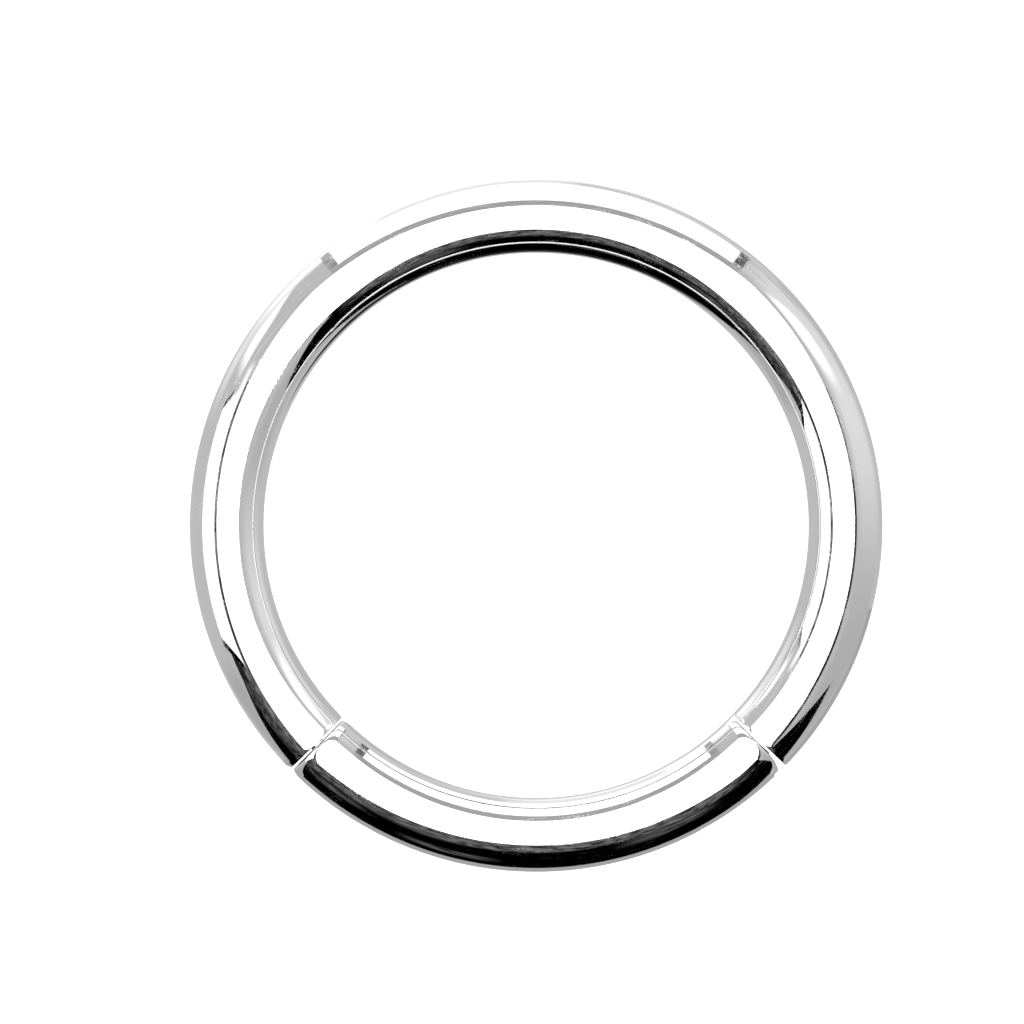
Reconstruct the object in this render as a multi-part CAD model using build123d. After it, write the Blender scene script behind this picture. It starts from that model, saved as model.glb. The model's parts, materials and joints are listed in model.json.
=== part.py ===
from build123d import *
import math
import os

# A hinged segment ring of round polished wire, in millimetres and degrees.
# The ring lies on its side, with its axis along +Z and its lowest point at Z = 0.
# Directions are measured counter-clockwise from +X, seen from above.

# The wire and the ring
wire_diameter = 1.63            # 14 gauge
bore_diameter = 12.0            # the clear hole inside the ring
segment_arc = 91.0              # angle between the two seams
segment_middle_angle = 270.4    # direction of the middle of the hinged segment
full_turn_angle = 360.0
seam_gap = 0.04                 # hairline between two facing ends
ring_edge_round = 0.09          # rounding of the main ring's end edges
segment_edge_round = 0.14       # rounding of the segment's end edges

# The hinge
pin_diameter = 0.40
pin_cover = 0.22                # metal between the pin and the outside of the ring
pin_setback = 0.80              # pin axis behind the segment's end
pin_clearance = 0.025           # all round the pin, where the tongue turns on it
tongue_thickness = 0.50
tongue_heel = 0.50              # how far the tongue's round end reaches past the sweep of its own shoulder
tongue_inset = 0.05             # the tongue's edges lie this far below the wire's surface, within the fork
slot_clearance = 0.03           # each side of the tongue, and past its round end
corner_clearance = 0.03         # between the fork's outer corner and the main ring as it turns

# The catch
ball_diameter = 0.70
ball_neck = 0.03                # bare stem between the segment's end and the ball
ball_clearance = 0.03           # all round the ball, in its notch
stem_diameter = 0.36
stem_depth = 0.90               # how deep the stem sits in the segment

# Worked out from the sizes above
wire_radius = wire_diameter / 2
centre_radius = (bore_diameter + wire_diameter) / 2
outer_radius = bore_diameter / 2 + wire_diameter
half_gap = math.degrees(seam_gap / 2 / centre_radius)
free_seam = segment_middle_angle - segment_arc / 2
hinge_seam = segment_middle_angle + segment_arc / 2
segment_free_end = free_seam + half_gap
segment_hinge_end = hinge_seam - half_gap
ring_hinge_end = hinge_seam + half_gap
ring_free_end = free_seam - half_gap + full_turn_angle
pin_depth = pin_cover + pin_diameter / 2
pin_to_ring = pin_setback + seam_gap
tongue_reach = math.hypot(pin_to_ring, pin_depth) + tongue_heel
ball_reach = ball_neck + ball_diameter / 2
through = 2 * wire_diameter     # height of what cuts right through the wire
beyond = 3 * wire_diameter      # how far a cutting block stands past what it cuts


def place(direction, radius, back):
    """The level at the middle of the wire, at a radius and direction and then moved back clockwise.

    Its X points away from the ring's axis, and its Y counter-clockwise along the wire.
    """
    turn = math.radians(direction)
    outwards = Vector(math.cos(turn), math.sin(turn), 0)
    clockwise = Vector(math.sin(turn), -math.cos(turn), 0)
    origin = outwards * radius + clockwise * back + Vector(0, 0, wire_radius)
    return Plane(origin=origin, x_dir=outwards, z_dir=(0, 0, 1))


pin_radial = math.sqrt((outer_radius - pin_depth) ** 2 - pin_setback ** 2)
pin_place = place(segment_hinge_end, pin_radial, pin_setback)
ball_place = place(segment_free_end, centre_radius, ball_reach)


def wire_arc(start, end, radius=wire_radius):
    """Round wire that follows the ring from one direction to another."""
    section = Plane.XZ * Pos(centre_radius, wire_radius) * Circle(radius)
    arc = revolve(section, axis=Axis.Z, revolution_arc=end - start)
    return Rot(0, 0, start) * arc


def round_ends(arc, radius):
    """Break the sharp edge round each end of a wire arc."""
    circles = arc.edges().filter_by(GeomType.CIRCLE)
    ends = [circle for circle in circles if math.isclose(circle.radius, wire_radius, rel_tol=1e-6)]
    return fillet(ends, radius)


def knuckle(reach, height):
    """All that lies on the main ring's side of the pin or within reach of its axis."""
    front = Pos(0, beyond / 2, 0) * Box(2 * beyond, beyond, height)
    return pin_place * (front + Cylinder(reach, height))


def make_tongue():
    """Flat tongue with a round end about the pin, milled from the end of the main ring's wire."""
    length = math.degrees((pin_to_ring + tongue_reach + wire_diameter) / centre_radius)
    root = math.degrees(wire_diameter / 2 / centre_radius)
    stock = wire_arc(ring_hinge_end - length, ring_hinge_end + root, wire_radius - tongue_inset)
    bore = pin_place * Cylinder(pin_diameter / 2 + pin_clearance, through)
    return (stock & knuckle(tongue_reach, tongue_thickness)) - bore


def make_notch():
    """Room for the ball: where it rests, and its way out as the segment swings about the pin."""
    radius = ball_diameter / 2 + ball_clearance
    from_pin = ball_place.origin - pin_place.origin
    direction = math.degrees(math.atan2(from_pin.Y, from_pin.X))
    swing = math.degrees((ball_reach + ball_diameter + wire_diameter) / from_pin.length)
    section = Plane.XZ * Pos(from_pin.length, 0) * Circle(radius)
    way_out = revolve(section, axis=Axis.Z, revolution_arc=swing)
    return [ball_place * Sphere(radius), Pos(*pin_place.origin) * Rot(0, 0, direction) * way_out]


def make_main_ring():
    ring = round_ends(wire_arc(ring_hinge_end, ring_free_end), ring_edge_round)
    ring = ring + make_tongue()
    for room in make_notch():
        ring = ring - room
    return ring


def make_hinged_segment():
    segment = round_ends(wire_arc(segment_free_end, segment_hinge_end), segment_edge_round)
    slot = knuckle(tongue_reach + slot_clearance, tongue_thickness + 2 * slot_clearance)
    corner = Pos(beyond / 2, beyond / 2, 0) * Box(beyond, beyond, through)
    corner = pin_place * (corner - Cylinder(pin_to_ring - corner_clearance, through))
    pin_hole = pin_place * Cylinder(pin_diameter / 2, through)
    return segment - slot - corner - pin_hole - make_stem()


def make_hinge_pin():
    """Rivet through the fork, polished flush with the wire."""
    direction = math.degrees(math.atan2(pin_place.origin.Y, pin_place.origin.X))
    around = math.degrees(wire_diameter / centre_radius)
    outside = wire_arc(direction - around, direction + around)
    return outside & (pin_place * Cylinder(pin_diameter / 2, through))


def make_stem():
    """Stem of the catch, from the ball's centre back into the segment."""
    length = ball_reach + stem_depth
    return ball_place * Pos(0, length / 2, 0) * Rot(90, 0, 0) * Cylinder(stem_diameter / 2, length)


def make_catch_ball():
    return ball_place * Sphere(ball_diameter / 2) + make_stem()


nodes = {
    "main_ring": make_main_ring(),
    "hinged_segment": make_hinged_segment(),
    "hinge_pin": make_hinge_pin(),
    "catch_ball": make_catch_ball(),
}

os.makedirs("parts", exist_ok=True)
for name, solid in nodes.items():
    export_step(solid, f"parts/{name}.step")
    print(name, "solids", len(solid.solids()), "volume", round(solid.volume, 4))
print("pin axis", [round(value, 5) for value in pin_place.origin])
print("ball centre", [round(value, 5) for value in ball_place.origin])
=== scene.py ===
import json
import math

import bpy
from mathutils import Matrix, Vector


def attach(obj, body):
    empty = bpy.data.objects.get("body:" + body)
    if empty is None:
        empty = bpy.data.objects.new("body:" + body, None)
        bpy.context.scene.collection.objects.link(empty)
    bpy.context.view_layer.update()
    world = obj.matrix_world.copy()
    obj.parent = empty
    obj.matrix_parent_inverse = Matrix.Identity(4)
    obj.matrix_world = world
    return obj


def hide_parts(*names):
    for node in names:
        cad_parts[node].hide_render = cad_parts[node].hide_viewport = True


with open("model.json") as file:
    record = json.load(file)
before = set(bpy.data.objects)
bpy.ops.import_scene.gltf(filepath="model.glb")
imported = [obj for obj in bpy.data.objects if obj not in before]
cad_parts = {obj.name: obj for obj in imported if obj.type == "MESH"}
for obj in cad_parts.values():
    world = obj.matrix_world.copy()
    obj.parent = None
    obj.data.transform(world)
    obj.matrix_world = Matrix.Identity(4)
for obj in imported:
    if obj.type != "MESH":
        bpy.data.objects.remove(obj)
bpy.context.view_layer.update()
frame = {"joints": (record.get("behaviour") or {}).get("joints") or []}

# The main ring. Three quarters of a turn of round 14 gauge surgical steel wire, bent cold, cut square at
# both ends and mirror polished. A flat tongue is milled from one end for the hinge, and the other end
# has a round notch, into which the ball of the catch snaps.
wire_diameter = 0.00163
bore_diameter = 0.01200
wire_radius = wire_diameter / 2
centre_radius = bore_diameter / 2 + wire_radius
outer_radius = centre_radius + wire_radius
wire_sides = 128
free_seam, hinge_seam = 224.9, 315.9    # directions, in degrees counter-clockwise from +X
seam_gap = 0.00004
half_gap = math.degrees(seam_gap / 2 / centre_radius)
ring_hinge_end = hinge_seam + half_gap
ring_free_end = free_seam - half_gap + 360
segment_free_end = free_seam + half_gap
segment_hinge_end = hinge_seam - half_gap
# Its ends are polished to a slight crown with a broken edge. Each pair is an arc of that line: its radius,
# and how far inwards it leans where it ends, in degrees.
ring_crown = ((0.00100, 4.0), (0.00050, 8.0), (0.00030, 12.0), (0.000015, 88.0))
pin_axis = Vector(frame["joints"][0]["pos_m"])
pin_radius = 0.00020
pin_clearance = 0.000025
pin_setback = 0.00080                   # the pin's axis behind the segment's end
pin_to_ring = pin_setback + seam_gap
tongue_thickness = 0.00050
tongue_inset = 0.000003                 # all but flush with the wire
tongue_heel = 0.00050                   # its round end reaches this far past the sweep of its own shoulder
tongue_reach = math.hypot(pin_to_ring, outer_radius - pin_axis.xy.length) + tongue_heel
tongue_blank = (33.0, 6.9)              # degrees of wire before and after the ring's end, to mill it from
relief_radius = 0.00035                 # the tongue's outer edge is scooped out where the two ends meet
relief_depth = 0.00013
relief_shift = 0.00006                  # from the middle of the seam towards the segment
small_round, large_round = 96, 192      # sides of a small and of a large round cut
right_through = 0.0040                  # height of what cuts right through the wire
beyond = 0.0049                         # how far a cutting block stands past what it cuts


def along_wire(direction, radius, ahead):
    """The point in that direction at the level of the wire's middle, moved ahead counter-clockwise."""
    turn = math.radians(direction)
    outwards = Vector((math.cos(turn), math.sin(turn), 0))
    onwards = Vector((-math.sin(turn), math.cos(turn), 0))
    return outwards * radius + onwards * ahead + Vector((0, 0, wire_radius))


def take_up(piece):
    """Makes the piece the only one selected, and the active one."""
    bpy.ops.object.select_all(action="DESELECT")
    piece.select_set(True)
    bpy.context.view_layer.objects.active = piece


def set_down(name):
    """Fixes the new primitive where it stands, and returns it."""
    bpy.ops.object.transform_apply(location=True, rotation=True, scale=True)
    bpy.context.object.name = name
    return bpy.context.object


def start_edit():
    """Goes into edit mode with all of the new primitive selected."""
    bpy.ops.object.mode_set(mode="EDIT")
    bpy.ops.mesh.select_mode(type="EDGE")
    bpy.ops.mesh.select_all(action="SELECT")


def end_edit():
    """Closes the open ends, merges doubles, turns every face outwards and goes back to object mode."""
    bpy.ops.mesh.select_all(action="DESELECT")
    bpy.ops.mesh.select_non_manifold()
    bpy.ops.mesh.fill_holes(sides=0)
    bpy.ops.mesh.select_all(action="SELECT")
    bpy.ops.mesh.remove_doubles(threshold=1e-7)
    bpy.ops.mesh.normals_make_consistent(inside=False)
    bpy.ops.object.mode_set(mode="OBJECT")


def select_end(wire, direction):
    """Selects the open circle at one end of a wire."""
    bpy.ops.mesh.select_all(action="DESELECT")
    bpy.ops.mesh.select_non_manifold()
    bpy.ops.object.mode_set(mode="OBJECT")
    middle = along_wire(direction, centre_radius, 0)
    reach = 1.2 * wire_radius           # takes in the circle at this end alone
    for edge in wire.data.edges:
        corner = wire.data.vertices[edge.vertices[0]].co
        edge.select = edge.select and (corner - middle).length < reach
    for vertex in wire.data.vertices:
        vertex.select = False
    bpy.ops.object.mode_set(mode="EDIT")


def crown_line(crown):
    """The line of a crowned end: how far ahead it reaches along the wire, and how far in it draws.

    A crown is a row of arcs, each with its radius and how far it has turned inwards at its end, in degrees.
    """
    steps = 16
    line = []
    ahead = drawn_in = before = 0.0
    for radius, tilt in crown:
        start = math.radians(before)
        for step in range(1, steps + 1):
            turned = math.radians(before + (tilt - before) * step / steps)
            line.append((ahead + radius * (math.sin(turned) - math.sin(start)),
                         drawn_in + radius * (math.cos(start) - math.cos(turned))))
        ahead, drawn_in = line[-1]
        before = tilt
    return line


def crown_end(wire, direction, way, crown):
    """Draws a wire's open end on along the ring and inwards, by the line of its crown.

    way is 1 for the counter-clockwise end of the wire, and -1 for the other.
    """
    select_end(wire, direction)
    reached, size = 0.0, wire_radius
    for ahead, drawn_in in crown_line(crown):
        turned = math.degrees(ahead / centre_radius)
        bpy.ops.mesh.spin(steps=1, angle=-math.radians(way * (turned - reached)),
                          center=(0, 0, 0), axis=(0, 0, 1))
        bpy.ops.transform.resize(value=((wire_radius - drawn_in) / size,) * 3,
                                 center_override=along_wire(direction + way * turned, centre_radius, 0))
        reached, size = turned, wire_radius - drawn_in


def bend_wire(name, start, end, radius=wire_radius, crown=()):
    """Round wire bent along the ring from one direction to another, with its ends crowned."""
    bpy.ops.object.select_all(action="DESELECT")
    if crown:
        crowned = math.degrees(crown_line(crown)[-1][0] / centre_radius)
        start, end = start + crowned, end - crowned
    bpy.ops.mesh.primitive_circle_add(
        vertices=wire_sides, radius=radius, location=along_wire(start, centre_radius, 0),
        rotation=(math.pi / 2, 0, math.radians(start)))
    wire = set_down(name)
    start_edit()
    bpy.ops.mesh.spin(steps=round(end - start), angle=-math.radians(end - start),
                      center=(0, 0, 0), axis=(0, 0, 1))
    if crown:
        crown_end(wire, start, -1, crown)
        crown_end(wire, end, 1, crown)
    end_edit()
    return wire


def cut(piece, tool, how="DIFFERENCE"):
    """Cuts the tool out of the piece, joins it on or keeps what they share, and throws the tool away."""
    step = piece.modifiers.new("cut", "BOOLEAN")
    step.operation = how
    step.solver = "EXACT"
    step.object = tool
    take_up(piece)
    bpy.ops.object.modifier_apply(modifier=step.name)
    bpy.data.objects.remove(tool)


def add_cylinder(centre, radius, height, sides=small_round):
    """An upright round bar about its centre."""
    bpy.ops.object.select_all(action="DESELECT")
    bpy.ops.mesh.primitive_cylinder_add(vertices=sides, radius=radius, depth=height, location=centre)
    return set_down("cylinder")


def add_block(inner, outer, behind, front, height):
    """A block at the pin, from inner to outer across the wire and from behind to front along it."""
    bpy.ops.object.select_all(action="DESELECT")
    turn = math.radians(segment_hinge_end)
    across, along = (inner + outer) / 2, (behind + front) / 2
    offset = Vector((math.cos(turn) * across - math.sin(turn) * along,
                     math.sin(turn) * across + math.cos(turn) * along, 0))
    bpy.ops.mesh.primitive_cube_add(size=1, location=pin_axis + offset, rotation=(0, 0, turn))
    bpy.context.object.scale = (outer - inner, front - behind, height)
    return set_down("block")


def add_knuckle(reach, height):
    """All that lies on the main ring's side of the pin or within reach of its axis."""
    knuckle = add_cylinder(pin_axis, reach, height, large_round)
    cut(knuckle, add_block(-beyond, beyond, 0, beyond, height), "UNION")
    return knuckle


def polish(piece):
    """Smooths the shading, and gives the wire's own surface the normals of a true bent round wire.

    A cut leaves uneven faces behind, and on a mirror each of them would show.
    """
    smooth_below = math.radians(35)
    on_surface = 4e-7                   # a corner this near the wire's surface lies on it
    straight_out = 0.999                # and its face counts if it looks straight out from the wire
    take_up(piece)
    bpy.ops.object.shade_smooth_by_angle(angle=smooth_below)
    weighted = piece.modifiers.new("weighted", "WEIGHTED_NORMAL")
    weighted.keep_sharp = True
    bpy.ops.object.modifier_apply(modifier=weighted.name)
    mesh = piece.data
    normals = [corner.vector.copy() for corner in mesh.corner_normals]
    for face in mesh.polygons:
        for corner in face.loop_indices:
            point = mesh.vertices[mesh.loops[corner].vertex_index].co
            middle = Vector((point.x, point.y, 0)).normalized() * centre_radius
            outwards = point - middle - Vector((0, 0, wire_radius))
            depth = wire_radius - outwards.length
            on_wire = abs(depth) < on_surface or abs(depth - tongue_inset) < on_surface
            if on_wire and face.normal.dot(outwards.normalized()) > straight_out:
                normals[corner] = outwards.normalized()
    mesh.normals_split_custom_set([tuple(normal) for normal in normals])


ring = bend_wire("ring_wire", ring_hinge_end, ring_free_end, crown=ring_crown)
tongue = bend_wire("tongue", ring_hinge_end - tongue_blank[0], ring_hinge_end + tongue_blank[1],
                   radius=wire_radius - tongue_inset)
cut(tongue, add_knuckle(tongue_reach, tongue_thickness), "INTERSECT")
cut(tongue, add_cylinder(pin_axis, pin_radius + pin_clearance, right_through))
relief_place = along_wire(hinge_seam, outer_radius + relief_radius - relief_depth, -relief_shift)
cut(tongue, add_cylinder(relief_place, relief_radius, right_through, large_round))
cut(ring, tongue, "UNION")

ball_radius = 0.00035
ball_clearance = 0.00003
ball_neck = 0.00003                     # bare stem between the segment's end and the ball
ball_reach = ball_neck + ball_radius
ball_centre = along_wire(segment_free_end, centre_radius, -ball_reach)


def add_ball(radius):
    """A ball at the catch, with its poles along the stem."""
    bpy.ops.object.select_all(action="DESELECT")
    bpy.ops.mesh.primitive_uv_sphere_add(
        segments=64, ring_count=48, radius=radius, location=ball_centre,
        rotation=(math.pi / 2, 0, math.radians(segment_free_end) + math.pi))
    return set_down("ball")


def add_way_out(radius):
    """The path of the ball as the segment swings about the pin."""
    away = ball_centre - pin_axis
    bpy.ops.object.select_all(action="DESELECT")
    bpy.ops.mesh.primitive_circle_add(
        vertices=64, radius=radius, location=ball_centre,
        rotation=(math.pi / 2, 0, math.atan2(away.y, away.x)))
    path = set_down("way_out")
    start_edit()
    swing = (ball_reach + 2 * ball_radius + 2 * wire_radius) / away.length
    bpy.ops.mesh.spin(steps=32, angle=-swing, center=pin_axis, axis=(0, 0, 1))
    end_edit()
    return path


cut(ring, add_ball(ball_radius + ball_clearance))
cut(ring, add_way_out(ball_radius + ball_clearance))
polish(ring)


def mirror_polished_steel(name, wear):
    """Surgical steel with a mirror polish.

    Faint polishing marks run along the wire, handling has left fine dull specks and a few shallow nicks,
    and wear sets how strong they are.
    """
    streaks_across, streaks_along = 26000, 1500     # per metre
    polished = 0.025                                # roughness of the bare polish
    dulled = 0.42                                   # and what the dullest marks add to it
    material = bpy.data.materials.new(name)
    material.use_nodes = True
    nodes, links = material.node_tree.nodes, material.node_tree.links
    shader = nodes["Principled BSDF"]
    shader.inputs["Metallic"].default_value = 1.0

    def node(kind, **settings):
        made = nodes.new(kind)
        for key, value in settings.items():
            setattr(made, key, value)
        return made

    def math_node(operation, first, second):
        made = node("ShaderNodeMath", operation=operation)
        for socket, value in zip(made.inputs, (first, second)):
            if isinstance(value, (int, float)):
                socket.default_value = value
            else:
                links.new(value, socket)
        return made.outputs[0]

    def spread(value, low, high, to_low, to_high):
        made = node("ShaderNodeMapRange")
        for socket, number in zip(list(made.inputs)[1:5], (low, high, to_low, to_high)):
            socket.default_value = number
        links.new(value, made.inputs["Value"])
        return made.outputs["Result"]

    place = node("ShaderNodeTexCoord").outputs["Object"]
    parts = node("ShaderNodeSeparateXYZ")
    links.new(place, parts.inputs["Vector"])
    along_x, along_y, height = parts.outputs
    from_axis = math_node("SQRT", math_node("ADD", math_node("MULTIPLY", along_x, along_x),
                                            math_node("MULTIPLY", along_y, along_y)), 0)

    # Long in the way of the wire and narrow across it: x and y count little, the place in its section much
    streak_place = node("ShaderNodeCombineXYZ")
    links.new(math_node("MULTIPLY", from_axis, streaks_across), streak_place.inputs["X"])
    links.new(math_node("MULTIPLY", height, streaks_across), streak_place.inputs["Y"])
    links.new(math_node("MULTIPLY", along_x, streaks_along), streak_place.inputs["Z"])
    streaks = node("ShaderNodeTexNoise", noise_dimensions="4D")
    streaks.inputs["Scale"].default_value = 1.0
    streaks.inputs["Detail"].default_value = 3.0
    links.new(streak_place.outputs["Vector"], streaks.inputs["Vector"])
    links.new(math_node("MULTIPLY", along_y, streaks_along), streaks.inputs["W"])

    specks = node("ShaderNodeTexNoise")
    specks.inputs["Scale"].default_value = 30000
    specks.inputs["Detail"].default_value = 2.0
    links.new(place, specks.inputs["Vector"])

    clouds = node("ShaderNodeTexNoise")
    clouds.inputs["Scale"].default_value = 500
    clouds.inputs["Detail"].default_value = 3.0
    links.new(place, clouds.inputs["Vector"])

    dull = math_node("MULTIPLY", spread(streaks.outputs["Fac"], 0.48, 0.68, 0.0, 1.0),
                     spread(specks.outputs["Fac"], 0.44, 0.62, 0.0, 1.0))
    handled = spread(clouds.outputs["Fac"], 0.35, 0.65, 0.35, 1.0)
    marks = math_node("MULTIPLY", math_node("MULTIPLY", dull, handled), dulled * wear)
    links.new(math_node("ADD", marks, polished), shader.inputs["Roughness"])

    tone = node("ShaderNodeValToRGB")
    darker, lighter = tone.color_ramp.elements
    darker.position, darker.color = 0.3, (0.77, 0.77, 0.775, 1)
    lighter.position, lighter.color = 0.7, (0.81, 0.81, 0.81, 1)
    links.new(clouds.outputs["Fac"], tone.inputs["Fac"])
    links.new(tone.outputs["Color"], shader.inputs["Base Color"])

    nicks = node("ShaderNodeTexVoronoi")
    nicks.inputs["Scale"].default_value = 900
    links.new(place, nicks.inputs["Vector"])
    nick_depth = spread(nicks.outputs["Distance"], 0.0, 0.035, -1.0, 0.0)
    nick_bump = node("ShaderNodeBump")
    nick_bump.inputs["Strength"].default_value = 0.6
    nick_bump.inputs["Distance"].default_value = 4e-7 * wear
    links.new(nick_depth, nick_bump.inputs["Height"])
    streak_bump = node("ShaderNodeBump")
    streak_bump.inputs["Strength"].default_value = 0.5
    streak_bump.inputs["Distance"].default_value = 1.2e-7 * wear
    links.new(streaks.outputs["Fac"], streak_bump.inputs["Height"])
    links.new(nick_bump.outputs["Normal"], streak_bump.inputs["Normal"])
    links.new(streak_bump.outputs["Normal"], shader.inputs["Normal"])
    return material


def finish_piece(piece, name, material, body, node_name):
    """Names a finished piece, gives it its metal, hides the imported part that it stands in for, and says
    what it rides on.
    """
    piece.name = name
    piece.data.materials.clear()
    piece.data.materials.append(material)
    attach(piece, body)
    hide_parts(node_name)


ring_steel = mirror_polished_steel("ring_steel", 1.0)
finish_piece(ring, "ring_wire", ring_steel, "ring", "main_ring")

# The hinged segment. A quarter turn of the same wire, with rounder ends, which closes the ring. One end is
# slotted into a fork that takes the tongue, with its outer corner cut round so that it clears the ring as
# it swings, and the other is drilled for the stem of the catch.
segment_crown = ((0.00115, 6.0), (0.00055, 12.0), (0.00030, 18.0), (0.00020, 45.0), (0.000015, 88.0))
slot_clearance = 0.00001
corner_clearance = 0.00006              # between the fork's outer corner and the ring as it swings
hairline = 0.000001                     # round the pin and the stem, where they are pressed in
stem_radius = 0.00018
stem_depth = 0.00090

segment = bend_wire("segment_wire", segment_free_end, segment_hinge_end, crown=segment_crown)
cut(segment, add_knuckle(tongue_reach + slot_clearance, tongue_thickness + 2 * slot_clearance))
corner = add_block(0, beyond, 0, beyond, right_through)
cut(corner, add_cylinder(pin_axis, pin_to_ring - corner_clearance, 2 * right_through, large_round))
cut(segment, corner)
cut(segment, add_cylinder(pin_axis, pin_radius + hairline, right_through))


def add_stem(radius, from_centre, length):
    """A round bar along the stem of the catch, from a distance ahead of the ball's centre."""
    bpy.ops.object.select_all(action="DESELECT")
    bpy.ops.mesh.primitive_cylinder_add(
        vertices=64, radius=radius, depth=length,
        location=along_wire(segment_free_end, centre_radius, -ball_reach + from_centre + length / 2),
        rotation=(math.pi / 2, 0, math.radians(segment_free_end)))
    return set_down("stem")


cut(segment, add_stem(stem_radius + hairline, 0, ball_reach + stem_depth))
polish(segment)
segment_steel = mirror_polished_steel("segment_steel", 1.0)
finish_piece(segment, "segment_wire", segment_steel, "segment", "hinged_segment")

# The hinge rivet. A short steel pin, pressed through both sides of the fork and turning in the tongue
# between them. Its ends are polished down with the wire, so they follow its round.
rivet_wire = (297.0, 322.0)             # the stretch of the wire that its ends follow
rivet = bend_wire("hinge_rivet", *rivet_wire)
cut(rivet, add_cylinder(pin_axis, pin_radius, right_through), "INTERSECT")
polish(rivet)
rivet_steel = mirror_polished_steel("rivet_steel", 0.7)
finish_piece(rivet, "hinge_rivet", rivet_steel, "segment", "hinge_pin")

# The catch. A small steel ball turned in one with its stem, which is pressed into the segment's free end.
# The ball sits in the notch in the ring's end, and a slight squeeze snaps it in or out.
def select_corners(piece, chosen):
    """Selects the corners that chosen picks by their place, and leaves the piece in edit mode."""
    bpy.ops.object.mode_set(mode="EDIT")
    bpy.ops.mesh.select_mode(type="VERT")
    bpy.ops.mesh.select_all(action="DESELECT")
    bpy.ops.object.mode_set(mode="OBJECT")
    for vertex in piece.data.vertices:
        vertex.select = chosen(vertex.co)
    bpy.ops.object.mode_set(mode="EDIT")


catch = add_ball(ball_radius)
stem_line = along_wire(segment_free_end, 0, 1) - along_wire(segment_free_end, 0, 0)
# The stem grows from the ball's circle of corners 30 degrees from its pole, and the cap beyond that goes
mouth_ahead = math.cos(math.radians(30))        # from the ball's centre, as a share of its radius
mouth_radius = ball_radius / 2
just_past = 0.005                               # the same
cap_start = ball_radius * (mouth_ahead + just_past)
select_corners(catch, lambda corner: (corner - ball_centre).dot(stem_line) > cap_start)
bpy.ops.mesh.delete(type="VERT")
bpy.ops.mesh.select_mode(type="EDGE")
bpy.ops.mesh.select_all(action="DESELECT")
bpy.ops.mesh.select_non_manifold()
mouth = ball_centre + stem_line * ball_radius * mouth_ahead
bpy.ops.transform.resize(value=(stem_radius / mouth_radius,) * 3, center_override=mouth)
stem_length = ball_reach + stem_depth - ball_radius * mouth_ahead
bpy.ops.mesh.extrude_region_move(TRANSFORM_OT_translate={"value": stem_line * stem_length})
end_edit()
polish(catch)
catch_steel = mirror_polished_steel("catch_steel", 0.8)
finish_piece(catch, "catch_ball_and_stem", catch_steel, "segment", "catch_ball")

# The floor. A white acrylic light table, faintly uneven, lit from below and by the room. The steel's
# reflections don't take it in: the lower panels of the studio stand in for it there.
bpy.ops.object.select_all(action="DESELECT")
bpy.ops.mesh.primitive_plane_add(size=2.0)
floor = bpy.context.object
floor.name = "floor"
acrylic = bpy.data.materials.new("white_acrylic")
acrylic.use_nodes = True
acrylic_shader = acrylic.node_tree.nodes["Principled BSDF"]
acrylic_shader.inputs["Base Color"].default_value = (0.9, 0.9, 0.9, 1)
acrylic_shader.inputs["Emission Color"].default_value = (1, 1, 1, 1)
acrylic_shader.inputs["Emission Strength"].default_value = 0.7
haze = acrylic.node_tree.nodes.new("ShaderNodeTexNoise")
haze.inputs["Scale"].default_value = 300
haze_spread = acrylic.node_tree.nodes.new("ShaderNodeMapRange")
haze_spread.inputs["To Min"].default_value = 0.6
haze_spread.inputs["To Max"].default_value = 0.8
acrylic.node_tree.links.new(haze.outputs["Fac"], haze_spread.inputs["Value"])
acrylic.node_tree.links.new(haze_spread.outputs["Result"], acrylic_shader.inputs["Roughness"])
floor.data.materials.append(acrylic)
floor.visible_glossy = False
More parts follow.
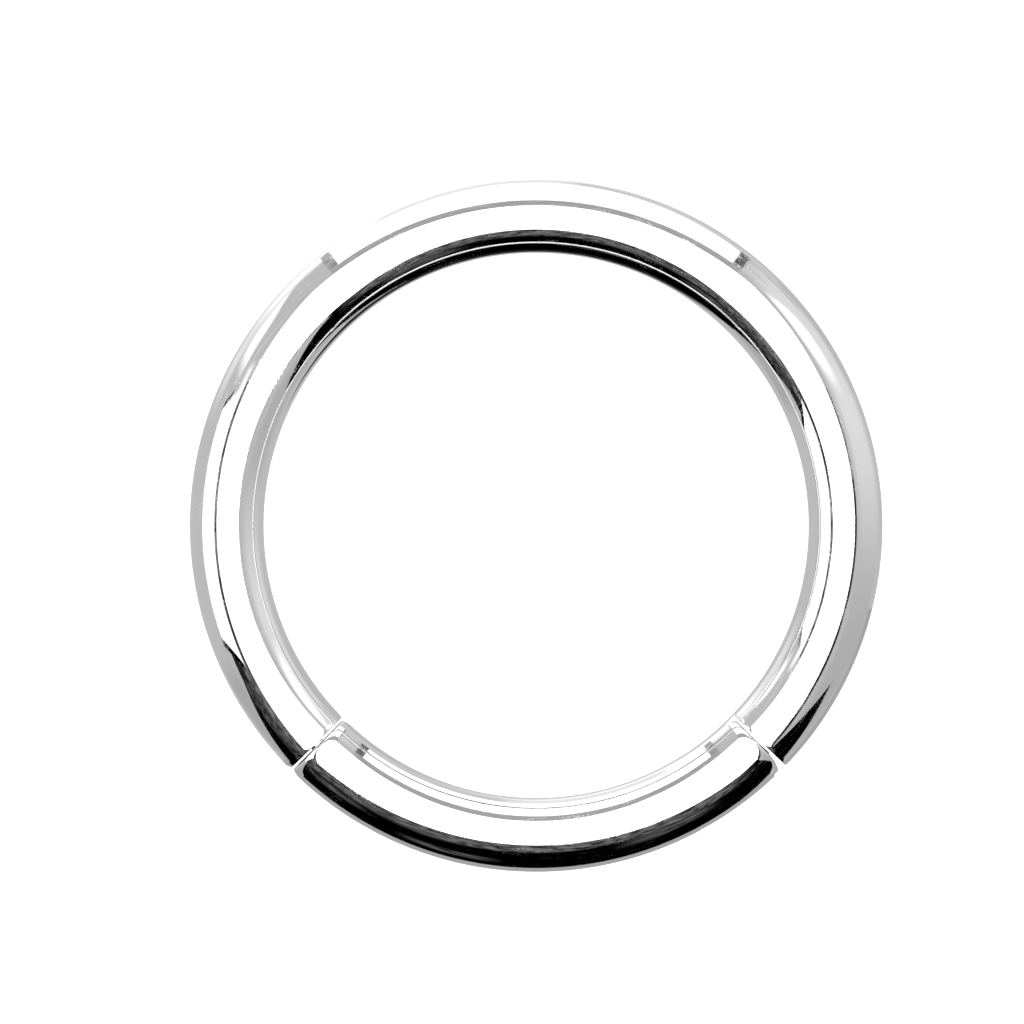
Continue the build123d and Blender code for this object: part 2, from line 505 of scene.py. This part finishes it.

# The studio. A small light tent of white and grey cloth and black card round the ring, with a bright
# window in its north and west sides and a soft box for a ceiling. Only the polished steel sees it, in its
# reflections. Each panel glows at a set brightness and nothing lights it, so the light and shade on the
# cloth are painted into that brightness.
def hang_panel(name, corners, brightness, push=1.06, soft=0.0, mottle=0.0, grain=(550, 130)):
    """A flat glowing panel of the tent; its brightness is set, not lit, and holds painted light and shade.
    Its corners are in millimetres from the middle of the ring.

    push moves the corners away from there, and so puts the panel behind or before the others. soft fades
    its edges over that share of its width, mottle is how much its brightness varies, and grain how finely
    it does so along the wall and upwards, per metre.
    """
    bpy.ops.object.select_all(action="DESELECT")
    bpy.ops.mesh.primitive_plane_add(size=1)
    panel = bpy.context.object
    panel.name = name
    for vertex, corner in zip((0, 1, 3, 2), corners):
        panel.data.vertices[vertex].co = Vector(corner) * push / 1000 + Vector((0, 0, wire_radius))
    material = bpy.data.materials.new(name)
    material.use_nodes = True
    nodes, links = material.node_tree.nodes, material.node_tree.links
    nodes.remove(nodes["Principled BSDF"])
    glow = nodes.new("ShaderNodeEmission")
    glow.inputs["Strength"].default_value = brightness
    place = nodes.new("ShaderNodeTexCoord")
    if mottle:
        upright = nodes.new("ShaderNodeMapping")
        upright.inputs["Scale"].default_value = (grain[0], grain[0], grain[1])
        noise = nodes.new("ShaderNodeTexNoise")
        noise.inputs["Scale"].default_value = 1.0
        noise.inputs["Detail"].default_value = 5
        noise.inputs["Roughness"].default_value = 0.65
        vary = nodes.new("ShaderNodeMapRange")
        vary.inputs["From Min"].default_value = 0.40
        vary.inputs["From Max"].default_value = 0.60
        vary.inputs["To Min"].default_value = brightness * (1 - mottle)
        vary.inputs["To Max"].default_value = brightness * (1 + mottle)
        links.new(place.outputs["Object"], upright.inputs["Vector"])
        links.new(upright.outputs["Vector"], noise.inputs["Vector"])
        links.new(noise.outputs["Fac"], vary.inputs["Value"])
        links.new(vary.outputs["Result"], glow.inputs["Strength"])
    surface = glow.outputs["Emission"]
    if soft:
        parts = nodes.new("ShaderNodeSeparateXYZ")
        links.new(place.outputs["UV"], parts.inputs["Vector"])
        both = nodes.new("ShaderNodeMath")
        both.operation = "MULTIPLY"
        for number, way in enumerate(("X", "Y")):
            from_edge = nodes.new("ShaderNodeMath")
            from_edge.operation = "PINGPONG"
            from_edge.inputs[1].default_value = 0.5
            fade = nodes.new("ShaderNodeMapRange")
            fade.interpolation_type = "SMOOTHSTEP"
            fade.inputs["From Max"].default_value = soft
            links.new(parts.outputs[way], from_edge.inputs[0])
            links.new(from_edge.outputs[0], fade.inputs["Value"])
            links.new(fade.outputs["Result"], both.inputs[number])
        clear = nodes.new("ShaderNodeBsdfTransparent")
        blend = nodes.new("ShaderNodeMixShader")
        links.new(both.outputs[0], blend.inputs["Fac"])
        links.new(clear.outputs["BSDF"], blend.inputs[1])
        links.new(surface, blend.inputs[2])
        surface = blend.outputs["Shader"]
    links.new(surface, nodes["Material Output"].inputs["Surface"])
    panel.data.materials.append(material)
    show_in_reflections_only(panel)


def show_in_reflections_only(panel):
    """The polished steel sees the panel, and nothing else does."""
    panel.visible_camera = False
    panel.visible_diffuse = False
    panel.visible_shadow = False


def lay_collar(name, start, end, inner, outer, brightness, level=0.035):
    """A glowing strip on the floor round part of the ring, from inner to outer millimetres from its axis;
    only the steel sees it, as a painted reflection.

    It runs between the directions start and end, in degrees. level is its height, in millimetres.
    """
    bpy.ops.object.select_all(action="DESELECT")
    bpy.ops.mesh.primitive_plane_add(size=1)
    collar = bpy.context.object
    collar.name = name
    for vertex, radius in zip(collar.data.vertices, (inner, outer, 0, 0)):
        vertex.co = along_wire(start, radius / 1000, 0) + Vector((0, 0, level / 1000 - wire_radius))
    select_corners(collar, lambda corner: corner.xy.length < 1e-6)
    bpy.ops.mesh.delete(type="VERT")
    bpy.ops.mesh.select_all(action="SELECT")
    bpy.ops.mesh.spin(steps=round(end - start), angle=-math.radians(end - start),
                      center=(0, 0, 0), axis=(0, 0, 1))
    bpy.ops.object.mode_set(mode="OBJECT")
    material = bpy.data.materials.new(name)
    material.use_nodes = True
    nodes, links = material.node_tree.nodes, material.node_tree.links
    nodes.remove(nodes["Principled BSDF"])
    glow = nodes.new("ShaderNodeEmission")
    glow.inputs["Strength"].default_value = brightness
    links.new(glow.outputs["Emission"], nodes["Material Output"].inputs["Surface"])
    collar.data.materials.append(material)
    show_in_reflections_only(collar)


def hang_on_wall(side, name, points, brightness, **finish):
    """A panel on one wall of the tent, from points along the wall and above the middle of the wire."""
    distance = {"north": 43.0, "south": -36.0, "east": 34.0, "west": -36.0}[side]
    if side in ("north", "south"):
        corners = [(along, distance, height) for along, height in points]
    else:
        corners = [(distance, along, height) for along, height in points]
    hang_panel(f"{side}_{name}", corners, brightness, **finish)


def square(low_along, low, high_along, high):
    """The four points of an upright oblong panel."""
    return [(low_along, low), (high_along, low), (high_along, high), (low_along, high)]


# The soft box overhead, with the black and the grey valance that hang at its south and north edges
ceiling = 49.4
hang_panel("ceiling", [(-33.5, -39.1, ceiling), (30, -39.1, ceiling), (35.3, 42, ceiling),
                       (-36.5, 41.5, ceiling)], 2.5, push=0.97)
hang_panel("south_valance", [(-40, -31.25, 40.8), (32, -31.25, 40.8), (32, -37.9, 47.9), (-40, -37.9, 47.9)],
           0.0, push=1.0)
hang_panel("north_valance", [(-40, 30.2, 37.7), (40, 30.2, 37.7), (40, 40.5, 47.9), (-40, 40.5, 47.9)],
           0.46, push=1.0)

# North wall: the wide window between its posts, with light sills below it
hang_on_wall("north", "cloth", square(-34.7, -42, 34.5, 52.9), 0.46, push=0.713, mottle=0.05)
hang_on_wall("north", "window", square(-32.5, -54, 32.3, 29), 1.7, push=0.707)
hang_on_wall("north", "sill", square(2, -60, 45, -21), 0.72, push=0.704, soft=0.1)
hang_on_wall("north", "light_sill", square(-26, -60, 8, -21), 0.98, push=0.705, soft=0.15)
hang_on_wall("north", "left_post", square(-34.8, -15, -32.5, 29), 0.39, push=0.70, mottle=0.3)
hang_on_wall("north", "right_post", square(32.4, -27, 34.6, 29), 0.16, push=0.70, mottle=0.7,
             grain=(1500, 500))

# West wall: the tall window between dark posts, black card to the south of it and lit cloth to the north
hang_on_wall("west", "cloth", square(-36, -42, 48, 60), 0.62)
hang_on_wall("west", "far_cloth", square(22, -12, 50, 46), 0.62, push=1.055, soft=0.08)
hang_on_wall("west", "low_light", square(10, -60, 62, -6), 0.95, push=1.05, soft=0.2)
hang_on_wall("west", "low_glow", [(22, -50), (64, -56), (64, -20), (25, -12)], 1.40, push=1.048, soft=0.25)
# Painted light: a bright soft patch of light on the cloth
hang_on_wall("west", "patch", [(15.5, 17), (28, 13), (39, -18), (19, -11)], 1.6, push=1.045, soft=0.3)
# Painted light: a fold in the cloth catching the light, as a lighter strip
hang_on_wall("west", "fold", [(17, 17), (20, 16), (35, 38), (32, 40)], 0.75, push=1.045, soft=0.3)
hang_on_wall("west", "shaded_cloth", square(-44, -40, -14, 10), 0.50, push=1.055, soft=0.2)
hang_on_wall("west", "dark_cloth", square(-42, 26, -16, 51), 0.18, push=1.05, mottle=0.6)
hang_on_wall("west", "card", [(-40, -31.8), (-19.3, 11.5), (-16.5, 26), (-40, 26)], 0.0, push=1.045)
hang_on_wall("west", "card_tip", [(-20, 10.0), (-19.1, 12.2), (-14.5, 13.4), (-17.5, 26)], 0.0, push=1.043)
hang_on_wall("west", "dim_cloth", square(-50, 6, -14, 34), 0.07, push=1.04, soft=0.3, mottle=0.8)
hang_on_wall("west", "dark_rail", square(-18.5, 37, -6, 50), 0.05, push=1.035, mottle=0.9)
hang_on_wall("west", "rail", square(-6, 37, 18, 49), 0.22, push=1.035, mottle=0.9)
hang_on_wall("west", "window", [(-13, 5.5), (13.5, 5), (18.3, 37), (-18.3, 38)], 1.7, push=1.03)
hang_on_wall("west", "left_post", [(-14, 4.5), (-12.8, 4.5), (-17.7, 40), (-19.2, 40)], 0.0, push=1.025)
hang_on_wall("west", "right_post", [(13.2, 3.5), (14.2, 3.5), (16.8, 17), (16.2, 17)], 0.06, push=1.025)
hang_on_wall("west", "glint", square(15.5, 19, 21.5, 39), 1.2, push=1.04, soft=0.4)

# East wall: the farthest, of cloth with soft folds whose creases are painted shade, behind a black card
hang_on_wall("east", "upper_cloth", square(-36, 30, 43, 62), 0.60, push=2.05)
hang_on_wall("east", "rail", square(5, 45.2, 16, 62), 0.20, push=2.0, mottle=0.9)
hang_on_wall("east", "dark_rail", square(-32, 45.2, 5, 62), 0.03, push=2.0, mottle=0.9)
hang_on_wall("east", "cloth", square(-36, -42, 43, 40), 0.62)
hang_on_wall("east", "shaded_cloth", square(-50, -30, 0, 40), 0.52, push=1.055, soft=0.3)
hang_on_wall("east", "light_cloth", square(-8, -30, 50, 40), 0.90, push=1.053, soft=0.35)
# Painted light: a bright soft patch of light on the cloth
hang_on_wall("east", "patch", [(40, 40), (29, 3), (11, -2), (18, 40)], 2.0, push=1.045, soft=0.45)
# Painted shade: darker strips in the creases of the cloth's folds
east_folds = (
    [(15, -23.5), (30, -33), (30, -28.5), (15, -19)],
    [(29, -43), (42, -66), (42, -58), (29, -37)],
    [(27, -14.5), (38, -16), (38, -12), (27, -10)],
    [(35, 6), (44, 7), (44, 10.5), (35, 9.5)])
for number, points in enumerate(east_folds):
    hang_on_wall("east", f"fold_{number + 1}", points, 0.50, push=1.043, soft=0.25)
hang_on_wall("east", "card", [(-42, -24), (-18.2, 4.4), (-31.5, 39.5), (-42, 52)], 0.0, push=1.035)

# South wall: black card from top to bottom, with dim cloth showing before it in places
hang_on_wall("south", "card", square(-40, -6, 36, 60), 0.0)
hang_on_wall("south", "low_cloth", square(-45, -60, 45, -6), 0.50, push=1.061)
hang_on_wall("south", "low_card", [(-29, -42), (13, -42), (47, -5.5), (-48, -5.5)], 0.0, push=1.055)
hang_on_wall("south", "cloth", square(-42, 18, 34, 62), 0.12, push=1.052, soft=0.12, mottle=0.9)
south_folds = (
    square(8, 2, 25, 24),
    square(-17, -10, -3, 3),
    square(-38, 2, -20, 18),
    square(-26, 14, -6, 36))
for number, points in enumerate(south_folds):
    hang_on_wall("south", f"fold_{number + 1}", points, 0.12, push=1.05, soft=0.45, mottle=0.9,
                 grain=(220, 480))

# Below the ring: the table, with a light and a dark patch on it
hang_panel("lower_table", [(-60, -60, -38), (60, -60, -38), (60, 60, -38), (-60, 60, -38)], 0.6)
hang_panel("lower_window", [(-60, 18, -36), (6, 3, -36), (30, 60, -36), (-60, 60, -36)], 1.3, soft=0.3)
hang_panel("lower_card", [(-56, -60, -36), (60, -60, -36), (45, -12, -36), (-11, -12, -36)], 0.02, soft=0.15,
           mottle=0.9)

# One plain grey glowing collar beside the ring's lower half, a painted reflection that lays a grey band
# along the steel's lower outer rim where the floor would show, and a strip of light below each seam
lay_collar("collar", 223, 346, 7.65, 9.15, 0.45)
seam_light = 3.0
seam_light_reach = 0.4                  # degrees to each side of the seam
for number, seam in enumerate((free_seam, hinge_seam)):
    lay_collar(f"seam_light_{number + 1}", seam - seam_light_reach, seam + seam_light_reach, 5.9, 7.65,
               seam_light, level=-0.02)

# The room. Plain and evenly pale, it lights the floor and shows behind it.
world = bpy.data.worlds.new("pale_room")
bpy.context.scene.world = world
world.use_nodes = True
world.node_tree.nodes["Background"].inputs["Color"].default_value = (1, 1, 1, 1)
world.node_tree.nodes["Background"].inputs["Strength"].default_value = 1.0

# The camera. It looks straight down the ring's axis from far off, through a long lens, with the ring
# a little right of the middle of the picture and a little below it.
camera_height = 0.264
camera_aside = (-0.000532, 0.000297)
frame_width = 0.022555
sensor_width = 36
bpy.ops.object.select_all(action="DESELECT")
bpy.ops.object.camera_add(location=(*camera_aside, camera_height + wire_radius), rotation=(0, 0, 0))
camera = bpy.context.object
camera.data.sensor_width = sensor_width
camera.data.lens = sensor_width * camera_height / frame_width
camera.data.clip_start = 0.01
camera.data.clip_end = 10
bpy.context.scene.camera = camera
bpy.context.scene.view_settings.view_transform = "Standard"
